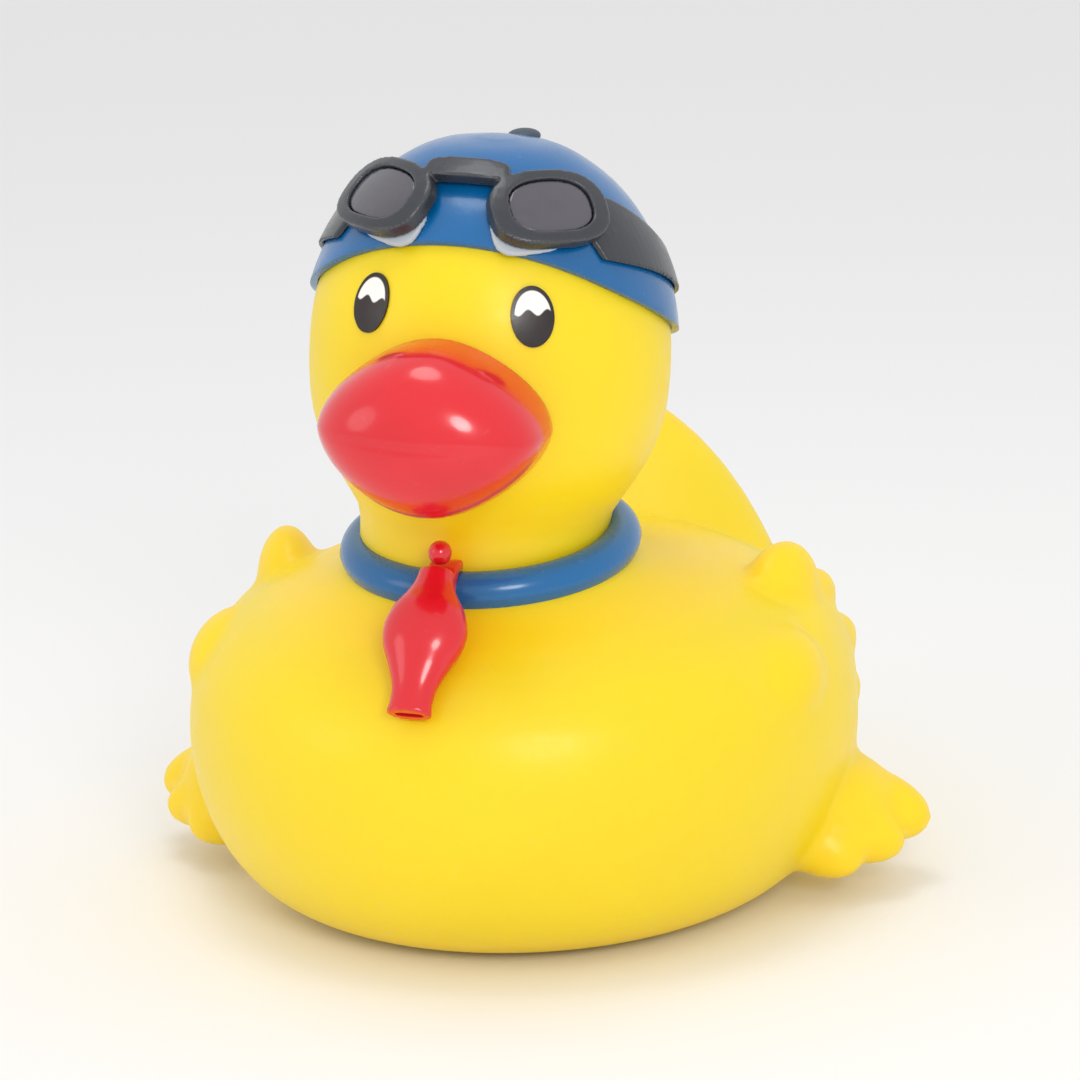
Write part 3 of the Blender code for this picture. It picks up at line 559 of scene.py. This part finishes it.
def vinyl_finish():
    found = bpy.data.materials.get("yellow_vinyl")
    if found:
        return found
    made = finish(
        "yellow_vinyl", tuple(settings().vinyl), deep=0.86, worn=0.25, drift=7.0, grain=1300.0, depth=0.05,
        gloss=(0.34, 0.46), Subsurface_Weight=0.22, Subsurface_Scale=0.012, Specular_IOR_Level=0.45)
    made.node_tree.nodes["Principled BSDF"].inputs["Subsurface Radius"].default_value = (1.0, 0.45, 0.05)
    return made


def cap_finish():
    return bpy.data.materials.get("blue_cap") or finish(
        "blue_cap", tuple(settings().cap), deep=0.6, worn=0.30, drift=14.0, grain=1100.0, depth=0.04,
        gloss=(0.20, 0.32), Coat_Weight=0.25, Coat_Roughness=0.12)


def red_finish():
    return bpy.data.materials.get("red_gloss") or finish(
        "red_gloss", tuple(settings().beak), deep=0.75, worn=0.22, drift=18.0, grain=1000.0, depth=0.03,
        gloss=(0.16, 0.27), Coat_Weight=0.4, Coat_Roughness=0.08,
        Subsurface_Weight=0.06, Subsurface_Scale=0.004)


def black_finish():
    return bpy.data.materials.get("goggle_black_gloss") or finish(
        "goggle_black_gloss", (0.030, 0.034, 0.042), deep=0.6, worn=0.25, drift=30.0, grain=1400.0,
        depth=0.05, gloss=(0.22, 0.38), Coat_Weight=0.15)


def paint(thing, made):
    thing.data.materials.clear()
    thing.data.materials.append(made)


def lean_with_head(thing):
    """Lean a piece modelled upright to the duck's left, about the neck."""
    settle(thing)
    move = Matrix.Translation(LEAN_PIVOT)
    turn = move @ Matrix.Rotation(HEAD_LEAN, 4, "Y") @ move.inverted()
    thing.matrix_world = Matrix.Translation(HEAD_SHIFT) @ turn


def hand_over(thing, made, slot, body, *nodes, edges=None, leans=False):
    """Finish a piece: origin, edge marks, material, the body it rides on and what it replaces."""
    if leans:
        lean_with_head(thing)
    settle(thing)
    if edges:
        mark_edges(thing, edges)
    paint(thing, made)
    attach(thing, body)
    if nodes:
        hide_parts(*nodes)


# ---------------------------------------------------------------- duck
def wing_lumps(side):
    """Blade, leading shoulder, raised tip and three trailing feathers."""
    rows = [
        ((0.098, -0.056, 0.060), (0.099, 0.060, 0.064), 0.018, 0.040),
        ((0.096, -0.058, 0.080), (0.098, -0.008, 0.088), 0.017, 0.018),
        ((0.086, -0.004, 0.080), (0.095, 0.020, 0.119), 0.012, 0.020),
        ((0.088, 0.000, 0.090), (0.099, 0.052, 0.096), 0.011, 0.013),
        ((0.094, 0.000, 0.073), (0.105, 0.061, 0.077), 0.011, 0.013),
        ((0.095, 0.000, 0.055), (0.106, 0.062, 0.058), 0.011, 0.013),
    ]
    return [lump(*[(side * x, y, z) for x, y, z in (a, b)], wide, tall) for a, b, wide, tall in rows]


def foot_lumps(side):
    """A heel under the body and three webbed toes."""
    rows = [
        ((0.088, 0.005, 0.036), (0.132, 0.000, 0.027), 0.026, 0.016),
        ((0.094, 0.014, 0.033), (0.144, 0.007, 0.022), 0.014, 0.013),
        ((0.093, 0.001, 0.028), (0.137, -0.009, 0.018), 0.013, 0.012),
        ((0.088, -0.008, 0.025), (0.124, -0.022, 0.015), 0.012, 0.011),
        ((0.090, 0.003, 0.030), (0.134, -0.004, 0.020), 0.026, 0.008),
    ]
    return [lump(*[(side * x, y, z) for x, y, z in (a, b)], wide, tall) for a, b, wide, tall in rows]


def screw_places():
    angles = [math.tau * n / SCREW_COUNT for n in range(SCREW_COUNT)]
    return [(SCREW_CIRCLE * math.cos(angle), SCREW_CIRCLE * math.sin(angle)) for angle in angles]


class DUCK_OT_body(bpy.types.Operator):
    """Mould the hollow body with its tail, wings and feet"""

    bl_idname = "duck.body"
    bl_label = "Body"

    def execute(self, context):
        body = body_loft("body_skin")
        parts = [tail_loft("tail")]
        for side in (1, -1):
            parts += wing_lumps(side) + foot_lumps(side)
        join(body, *parts)
        fuse(body, settings().voxel, settings().fillet)
        cavity = body_loft("cavity", WALL, *CAVITY, steps=14, sides=48)
        hollow = tail_loft("tail_hollow", 0.004, 0.127, steps=8, sides=32)
        cut(cavity, "UNION", hollow)
        bosses = [drum(BOSS_RADIUS, *BOSS_REACH, place, 24) for place in screw_places()]
        cut(cavity, "DIFFERENCE", *bosses)
        cut(body, "DIFFERENCE", cavity)
        holes = [drum(SCREW_HOLE, *SCREW_REACH, place, 16) for place in screw_places()]
        neck_hole = drum(SPIGOT_RADIUS + GAP, *NECK_HOLE_REACH, (0, NECK_Y))
        belly_hole = drum(BELLY_HOLE, BELOW_FLOOR, 0.030)
        recess = drum(RECESS_RADIUS, BELOW_FLOOR, RECESS_TOP, sides=96)
        cut(body, "DIFFERENCE", neck_hole, belly_hole, recess, *holes)
        smooth(body)
        hand_over(body, vinyl_finish(), "vinyl_yellow", "duck", "body_shell")
        return {"FINISHED"}


class DUCK_OT_head(bpy.types.Operator):
    """Mould the hollow head and its neck spigot"""

    bl_idname = "duck.head"
    bl_label = "Head"

    def execute(self, context):
        head = head_loft("head_skin")
        inside = head_loft("inside", -WALL, HEAD_CAVITY, steps=16, sides=48)
        lean_with_head(head)
        lean_with_head(inside)
        settle(head)
        settle(inside)
        cut(head, "DIFFERENCE", drum(HEAD_TRIM_RADIUS, BORE_REACH[0], NECK_SEAM, (0, NECK_Y)))
        cut(head, "UNION", drum(SPIGOT_RADIUS, SPIGOT_FOOT, SPIGOT_TOP, (0, NECK_Y)))
        cut(head, "DIFFERENCE", inside, drum(SPIGOT_BORE, *BORE_REACH, (0, NECK_Y), 48))
        smooth(head)
        hand_over(head, vinyl_finish(), "vinyl_yellow", "duck", "head_shell")
        return {"FINISHED"}


class DUCK_OT_cap(bpy.types.Operator):
    """Pull the swim cap over the head and seat the nub on its crown"""

    bl_idname = "duck.cap"
    bl_label = "Swim cap"

    def execute(self, context):
        cap = head_loft("cap_shell", GAP + CAP_THICK)
        rim = curve_through(CAP_RIM)
        below = [(-0.150, 0.290), *rim, (0.080, 0.180), (0.080, 0.100), (-0.150, 0.100)]
        cut(cap, "DIFFERENCE", head_loft("cap_inside", GAP), prism("rim", below, SIDE_VIEW, -0.1, 0.1))
        apply_modifier(cap, "rim_round", "BEVEL", width=0.0009, segments=3, limit_method="ANGLE",
                       angle_limit=math.radians(50), use_clamp_overlap=True)
        smooth(cap, 50)
        hand_over(cap, cap_finish(), "cap_blue", "duck", "swim_cap", leans=True)
        low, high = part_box("cap_plug")
        middle = [(a + b) / 2 for a, b in zip(low, high)]
        nub = drum(0.0032, low[2], high[2] - 0.0050, middle[:2], 24)
        top = lump((middle[0], middle[1] - 0.0055, high[2] - 0.0054),
                   (middle[0], middle[1] + 0.0055, high[2] - 0.0052), 0.0058, 0.0026)
        join(nub, top)
        nub.name = "cap_nub"
        fuse(nub, 0.0004, 6)
        hand_over(nub, cap_nub_finish(), "goggle_black", "duck", "cap_plug")
        return {"FINISHED"}


def cap_nub_finish():
    return finish("nub_rubber", (0.05, 0.07, 0.10), deep=0.6, worn=0.2, drift=40.0, grain=1500.0, depth=0.1,
                  gloss=(0.45, 0.6))


def cup_frames():
    """Each cup's side and the matrix that faces it."""
    frames = {}
    for side, word in ((1, "left"), (-1, "right")):
        centre = Vector((side * CUP_CENTRE.x, CUP_CENTRE.y, CUP_CENTRE.z))
        facing = Vector((side * CUP_NORMAL.x, CUP_NORMAL.y, CUP_NORMAL.z))
        frames[word] = (side, frame_of(facing, centre))
    return frames


def sight_outline():
    return rounded(LENS_HALF[0] - LENS_LEDGE, LENS_HALF[1] - LENS_LEDGE)


def open_cup(rim, matrix):
    """Cut the lens's seat and the sight through a cup."""
    well = prism("well", rounded(LENS_HALF[0] + GAP, LENS_HALF[1] + GAP), matrix, -0.010, 0.030)
    cut(well, "DIFFERENCE", head_loft("ledge", LENS_SKIN[0] - GAP))
    cut(rim, "DIFFERENCE", well, prism("sight", sight_outline(), matrix, -0.030, 0.030))


def make_lens(word, matrix):
    lens = prism(f"lens_{word}", rounded(*LENS_HALF), matrix, -0.010, 0.030)
    cut(lens, "INTERSECT", head_loft("glass_outer", LENS_SKIN[1]))
    cut(lens, "DIFFERENCE", head_loft("glass_inner", LENS_SKIN[0]))
    fuse(lens, 0.0004, 5)
    hand_over(lens, lens_finish(), "lens_smoke", "duck", f"goggle_lens_{word}", leans=True)


def make_pad(word, side, matrix):
    """The soft rest under a cup, which shows at its inner lower corner."""
    rest = rounded(*PAD_HALF, 64, 3.0, (PAD_SHIFT[0] * side, PAD_SHIFT[1]))
    pad = prism(f"pad_{word}", rest, matrix, -0.020, 0.012)
    cut(pad, "INTERSECT", head_loft("pad_outer", PAD_SKIN[1]))
    cut(pad, "DIFFERENCE", head_loft("pad_inner", PAD_SKIN[0]),
        prism("hole", sight_outline(), matrix, -0.032, 0.032))
    fuse(pad, 0.0005, 4)
    hand_over(pad, pad_finish(), "pad_grey", "duck", f"goggle_pad_{word}", leans=True)


def make_strap(frames):
    """The band round the cap, cut away where the cups and the bridge sit."""
    band = curve_through(STRAP_TOP) + list(reversed(curve_through(STRAP_FOOT)))
    strap = prism("goggle_band", band, SIDE_VIEW, -0.09, 0.09)
    cut(strap, "INTERSECT", head_loft("strap_outer", STRAP_SKIN[1]))
    cut(strap, "DIFFERENCE", head_loft("strap_inner", STRAP_SKIN[0]))
    grown = rounded(CUP_HALF[0] - STRAP_LAP, CUP_HALF[1] - STRAP_LAP)
    ends = [prism("end", grown, matrix, -0.030, 0.030) for side, matrix in frames.values()]
    middle = prism("middle", [(-0.022, -0.100), (0.022, -0.100), (0.022, -0.045), (-0.022, -0.045)],
                   Matrix.Identity(4), 0.230, 0.320)
    cut(strap, "DIFFERENCE", *ends, middle)
    fuse(strap, 0.0006, 4)
    hand_over(strap, black_finish(), "goggle_black", "duck", "goggle_strap", leans=True)


class DUCK_OT_goggles(bpy.types.Operator):
    """Lay the goggles, their lenses, pads and strap in low relief on the cap"""

    bl_idname = "duck.goggles"
    bl_label = "Goggles"

    def execute(self, context):
        frames = cup_frames()
        cups = [prism("cup", rounded(*CUP_HALF), matrix, -0.012, 0.020) for side, matrix in frames.values()]
        rim = cups[0]
        rim.name = "goggle_rim"
        bar_frame = frame_of(BAR_FACING, BAR_CENTRE)
        cut(rim, "UNION", cups[1], prism("bar", rounded(*BAR_HALF, 48, 5.0), bar_frame, -0.012, 0.020))
        cut(rim, "INTERSECT", head_loft("outer", FRAME_SKIN[1]))
        cut(rim, "DIFFERENCE", head_loft("inner", FRAME_SKIN[0]))
        for word, (side, matrix) in frames.items():
            open_cup(rim, matrix)
            make_lens(word, matrix)
            make_pad(word, side, matrix)
        fuse(rim, 0.0006, 6)
        hand_over(rim, black_finish(), "goggle_black", "duck", "goggle_frame", edges=WEAR_GAIN, leans=True)
        make_strap(frames)
        return {"FINISHED"}


def lens_finish():
    return bpy.data.materials.get("smoked_lens") or finish(
        "smoked_lens", (0.085, 0.080, 0.095), deep=0.55, worn=0.10, drift=60.0, grain=600.0, depth=0.02,
        gloss=(0.08, 0.22), Coat_Weight=0.5, Coat_Roughness=0.05)


def pad_finish():
    return bpy.data.materials.get("pale_pad") or finish(
        "pale_pad", (0.46, 0.50, 0.54), deep=0.8, worn=0.3, drift=40.0, grain=1500.0, depth=0.1,
        gloss=(0.4, 0.55))


class DUCK_OT_beak(bpy.types.Operator):
    """Shape the broad red bill"""

    bl_idname = "duck.beak"
    bl_label = "Beak"

    def execute(self, context):
        bpy.ops.object.select_all(action="DESELECT")
        bpy.ops.mesh.primitive_uv_sphere_add(segments=96, ring_count=64, radius=1)
        beak = bpy.context.object
        beak.name = "bill"
        for vert in beak.data.vertices:
            x, y, z = vert.co
            flat = math.copysign(abs(y) ** 0.72, y)
            side = (1 - 0.16 * z * z) * (1 - 0.10 * abs(z))
            lip = 0.014 * math.exp(-((z + 0.02 * math.cos(x * 2.5)) / 0.045) ** 2) * max(0.0, -y)
            vert.co = BEAK_CENTRE + Vector((
                x * side * BEAK_RADII[0], flat * BEAK_RADII[1] * (1 - lip), z * BEAK_RADII[2]))
        cut(beak, "DIFFERENCE", head_loft("seat", GAP))
        smooth(beak, 50)
        hand_over(beak, red_finish(), "beak_red", "duck", "beak", leans=True)
        return {"FINISHED"}


def eye_finish():
    """Painted eye: black outline and pupil, white above with a wavy lower edge."""
    made = finish("eye_paint_gloss", (0.018, 0.010, 0.008), deep=0.6, worn=0.05, drift=60.0, grain=1200.0,
                  depth=0.05, gloss=(0.26, 0.36))
    tree = made.node_tree
    shader = tree.nodes["Principled BSDF"]
    skin = next(node for node in tree.nodes if node.type == "GROUP")
    place = add(tree, "ShaderNodeUVMap", uv_map="eye_face")
    split = tree.nodes.new("ShaderNodeSeparateXYZ")
    link(tree, place.outputs["UV"], split.inputs[0])

    def maths(operation, *values):
        node = add(tree, "ShaderNodeMath", operation=operation)
        for socket, value in zip(node.inputs, values):
            if isinstance(value, float):
                socket.default_value = value
            else:
                link(tree, value, socket)
        return node.outputs[0]

    # across and up the eye, each from -1 to 1
    u = maths("MULTIPLY_ADD", split.outputs["X"], 2.0, -1.0)
    v = maths("MULTIPLY_ADD", split.outputs["Y"], 2.0, -1.0)
    radius = maths("ADD", maths("MULTIPLY", u, u), maths("MULTIPLY", v, v))
    wave = maths("MULTIPLY", maths("SINE", maths("MULTIPLY", u, WHITE_WAVES)), WHITE_WAVE_HEIGHT)
    over = maths("SUBTRACT", maths("ADD", v, wave), WHITE_FOOT)
    above = maths("MULTIPLY", over, 18.0)
    within = maths("MULTIPLY", maths("SUBTRACT", WHITE_REACH, radius), 14.0)
    both = maths("MINIMUM", above, within)
    both = maths("MAXIMUM", maths("MINIMUM", both, 1.0), 0.0)
    white = add(tree, "ShaderNodeMix", data_type="RGBA")
    link(tree, both, white.inputs[0])
    link(tree, skin.outputs["Colour"], white.inputs[6])
    white.inputs[7].default_value = (0.92, 0.88, 0.83, 1)
    link(tree, white.outputs[2], shader.inputs["Base Color"])
    return made


class DUCK_OT_eyes(bpy.types.Operator):
    """Inlay the two painted eyes"""

    bl_idname = "duck.eyes"
    bl_label = "Eyes"

    def execute(self, context):
        made = eye_finish()
        for side, word in ((1, "left"), (-1, "right")):
            centre = Vector((side * EYE_CENTRE.x, EYE_CENTRE.y, EYE_CENTRE.z))
            matrix = frame_of(Vector((side * 0.50, -0.82, 0.26)), centre)
            eye = prism(f"eye_inlay_{word}", rounded(*EYE_HALF, 64, 2.0), matrix, -0.020, 0.020)
            cut(eye, "INTERSECT", head_loft("eye_outer", 0.0008))
            cut(eye, "DIFFERENCE", head_loft("eye_inner", GAP / 3))
            smooth(eye, 50)
            layer = eye.data.uv_layers.new(name="eye_face")
            back = matrix.inverted()
            for loop in eye.data.loops:
                point = back @ eye.data.vertices[loop.vertex_index].co
                across, up = point.x / EYE_HALF[0], point.y / EYE_HALF[1]
                layer.data[loop.index].uv = (0.5 + across / 2, 0.5 + up / 2)
            hand_over(eye, made, "eye_paint", "duck", f"eye_{word}", leans=True)
        return {"FINISHED"}


def cord_front():
    drop = CORD_RADIUS * math.sin(CORD_TILT)
    return Vector((WHISTLE_X, NECK_Y - CORD_RADIUS * math.cos(CORD_TILT), CORD_Z - drop))


class DUCK_OT_cord(bpy.types.Operator):
    """Roll the ring round the neck, with its fine mould line"""

    bl_idname = "duck.cord"
    bl_label = "Neck cord"

    def execute(self, context):
        bpy.ops.object.select_all(action="DESELECT")
        bpy.ops.mesh.primitive_torus_add(
            major_segments=144, minor_segments=40, major_radius=CORD_RADIUS, minor_radius=CORD_THICK)
        cord = bpy.context.object
        cord.name = "neck_ring"
        bpy.ops.object.mode_set(mode="EDIT")
        bpy.ops.mesh.select_all(action="DESELECT")
        form = bmesh.from_edit_mesh(cord.data)
        for vert in form.verts:
            reach = math.hypot(vert.co.x, vert.co.y)
            vert.select = abs(vert.co.z) < 1e-5 and reach > CORD_RADIUS
        form.select_flush_mode()
        bmesh.update_edit_mesh(cord.data)
        bpy.ops.transform.shrink_fatten(value=0.00018)
        bpy.ops.object.mode_set(mode="OBJECT")
        cord.matrix_world = Matrix.Translation((0, NECK_Y, CORD_Z)) @ Matrix.Rotation(CORD_TILT, 4, "X")
        smooth(cord, 60)
        hand_over(cord, cap_finish(), "cap_blue", "duck", "neck_cord")
        return {"FINISHED"}


class DUCK_OT_whistle(bpy.types.Operator):
    """Mould the whistle and its loop on the cord"""

    bl_idname = "duck.whistle"
    bl_label = "Whistle"

    def execute(self, context):
        hang = cord_front()
        across = frame_of(Vector((1, 0, 0)), hang)
        ring = rounded(LOOP_RADIUS, LOOP_RADIUS, 48, 2.0)
        loop = prism("whistle_shell", ring, across, -LOOP_HALF, LOOP_HALF)
        origin = hang + WHISTLE_OUT * WHISTLE_LEAD
        levels = [(distance, half, -deep, deep) for distance, half, deep in WHISTLE_LEVELS]
        start, end = levels[0][0], levels[-1][0]
        rings = []
        for i in range(WHISTLE_STEPS):
            distance = start + (end - start) * i / (WHISTLE_STEPS - 1)
            rings.append((distance, *between(levels, distance)))
        blade = loft("blade", rings, 48)
        down = (WHISTLE_DIRECTION + WHISTLE_LEAN).normalized()
        x = WHISTLE_OUT.cross(down).normalized()
        matrix = Matrix((x, down.cross(x), down)).transposed().to_4x4()
        matrix.translation = origin
        blade.matrix_world = matrix
        settle(blade)
        above = origin + WHISTLE_DIRECTION * -0.0075
        nub = lump(above + Vector((-0.004, 0, 0)), above + Vector((0.004, 0, 0)), 0.0042, 0.0042)
        join(loop, blade, nub)
        fuse(loop, 0.0006, 7)
        mouth = frame_of(WHISTLE_DIRECTION, origin + WHISTLE_LEAN * 0.046, WHISTLE_OUT)
        slot = prism("slot", rounded(0.0048, 0.0016, 32, 3.0), mouth, 0.045, 0.060)
        eye = prism("eye", rounded(LOOP_EYE, LOOP_EYE, 48, 2.0), across, -0.0200, 0.0200)
        cut(loop, "DIFFERENCE", slot, eye)
        smooth(loop, 50)
        hand_over(loop, red_finish(), "beak_red", "whistle", "whistle")
        return {"FINISHED"}


class DUCK_OT_canister(bpy.types.Operator):
    """Finish the canister, its cap, dial, lock, seals, screws and weights"""

    bl_idname = "duck.canister"
    bl_label = "Canister and cap"

    def execute(self, context):
        white = finish("moulded_white", (0.74, 0.75, 0.73), deep=0.88, worn=0.3, drift=25.0, grain=1200.0,
                       depth=0.10, gloss=(0.32, 0.48))
        seal = finish("black_seal", (0.02, 0.02, 0.022), deep=0.6, worn=0.2, drift=40.0, grain=1600.0,
                      depth=0.15, gloss=(0.5, 0.7))
        steel = finish("screw_metal", (0.58, 0.58, 0.57), deep=0.8, worn=0.3, drift=200.0, grain=2500.0,
                       depth=0.12, gloss=(0.22, 0.42), Metallic=1.0)
        iron = finish("cast_weight", (0.13, 0.125, 0.12), deep=0.5, worn=0.2, drift=80.0, grain=900.0,
                      depth=0.5, gloss=(0.5, 0.8), Metallic=0.8)
        looks = {
            "tablet_canister": white, "refill_cap": white, "dial_rivet": white, "tablet_grid": white,
            "vent_dial": cap_finish(), "cap_lock": red_finish(), "belly_gasket": seal, "cap_seal": seal,
            "neck_seal": seal, "ballast_left": iron, "ballast_right": iron,
        }
        looks.update({f"flange_screw_{n}": steel for n in range(1, SCREW_COUNT + 1)})
        for name, made in looks.items():
            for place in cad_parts[name].material_slots:
                place.material = made
        return {"FINISHED"}


# ---------------------------------------------------------------- stage
def lamp(name, place, target, size, power):
    """A soft round lamp, turned to what it lights."""
    data = bpy.data.lights.new(name, "AREA")
    data.shape = "DISK"
    data.size = size
    data.energy = power
    thing = bpy.data.objects.new(name, data)
    bpy.context.scene.collection.objects.link(thing)
    thing.location = Vector(place)
    thing.rotation_euler = (Vector(target) - thing.location).to_track_quat("-Z", "Y").to_euler()


class DUCK_OT_stage(bpy.types.Operator):
    """Lay the pale floor, set the soft lights and place the camera"""

    bl_idname = "duck.stage"
    bl_label = "Stage"

    def execute(self, context):
        bpy.ops.object.select_all(action="DESELECT")
        bpy.ops.mesh.primitive_plane_add(size=8, location=(0, 0, -0.0006))
        floor = bpy.context.object
        floor.name = "pale_floor"
        pale = bpy.data.materials.new("pale_ground")
        pale.use_nodes = True
        shader = pale.node_tree.nodes["Principled BSDF"]
        shader.inputs["Base Color"].default_value = (0.90, 0.90, 0.90, 1)
        shader.inputs["Roughness"].default_value = 0.9
        shader.inputs["Specular IOR Level"].default_value = 0.1
        floor.data.materials.append(pale)
        world = bpy.data.worlds.new("soft_room")
        world.use_nodes = True
        world.node_tree.nodes["Background"].inputs["Color"].default_value = (1, 1, 1, 1)
        world.node_tree.nodes["Background"].inputs["Strength"].default_value = 0.85
        context.scene.world = world
        context.scene.view_settings.view_transform = "Standard"
        middle = (0, 0, 0.12)
        lamp("key", (0.65, -1.25, 0.75), middle, 0.45, 5.4)
        lamp("fill", (-1.2, -0.9, 0.6), middle, 0.7, 1.4)
        lamp("top", (-0.1, -0.1, 1.5), middle, 0.6, 3.0)
        azimuth, elevation = math.radians(VIEW_AZIMUTH), math.radians(VIEW_ELEVATION)
        back = Vector((math.sin(azimuth) * math.cos(elevation), -math.cos(azimuth) * math.cos(elevation),
                       math.sin(elevation)))
        data = bpy.data.cameras.new("view")
        data.lens = VIEW_LENS
        data.sensor_width = 36
        data.clip_start = 0.05
        camera = bpy.data.objects.new("view", data)
        context.scene.collection.objects.link(camera)
        camera.location = VIEW_TARGET + back * VIEW_DISTANCE
        turn = (-back).to_track_quat("-Z", "Y").to_matrix().to_4x4()
        lean = turn @ Matrix.Rotation(math.radians(-VIEW_LEAN), 4, "Z")
        shift = lean.to_3x3() @ Vector((*VIEW_OFFSET, 0))
        camera.rotation_euler = lean.to_euler()
        camera.location += shift
        context.scene.camera = camera
        return {"FINISHED"}


STEPS = ("body", "head", "cap", "goggles", "beak", "eyes", "cord", "whistle", "canister", "stage")


class DUCK_PT_panel(bpy.types.Panel):
    """Lists the pieces and their settings"""

    bl_idname = "DUCK_PT_panel"
    bl_label = "Duck dispenser"
    bl_space_type = "VIEW_3D"
    bl_region_type = "UI"
    bl_category = "Duck"

    def draw(self, context):
        for name in ("vinyl", "cap", "beak", "voxel", "fillet"):
            self.layout.prop(context.scene.duck, name)
        for step in STEPS:
            self.layout.operator(f"duck.{step}")


CLASSES = (
    DuckSettings, DUCK_OT_body, DUCK_OT_head, DUCK_OT_cap, DUCK_OT_goggles, DUCK_OT_beak, DUCK_OT_eyes,
    DUCK_OT_cord, DUCK_OT_whistle, DUCK_OT_canister, DUCK_OT_stage, DUCK_PT_panel,
)


def register():
    for item in CLASSES:
        bpy.utils.register_class(item)
    bpy.types.Scene.duck = PointerProperty(type=DuckSettings)


def unregister():
    del bpy.types.Scene.duck
    for item in reversed(CLASSES):
        bpy.utils.unregister_class(item)


def main():
    register()
    for step in STEPS:
        getattr(bpy.ops.duck, step)()


if __name__ == "__main__":
    main()
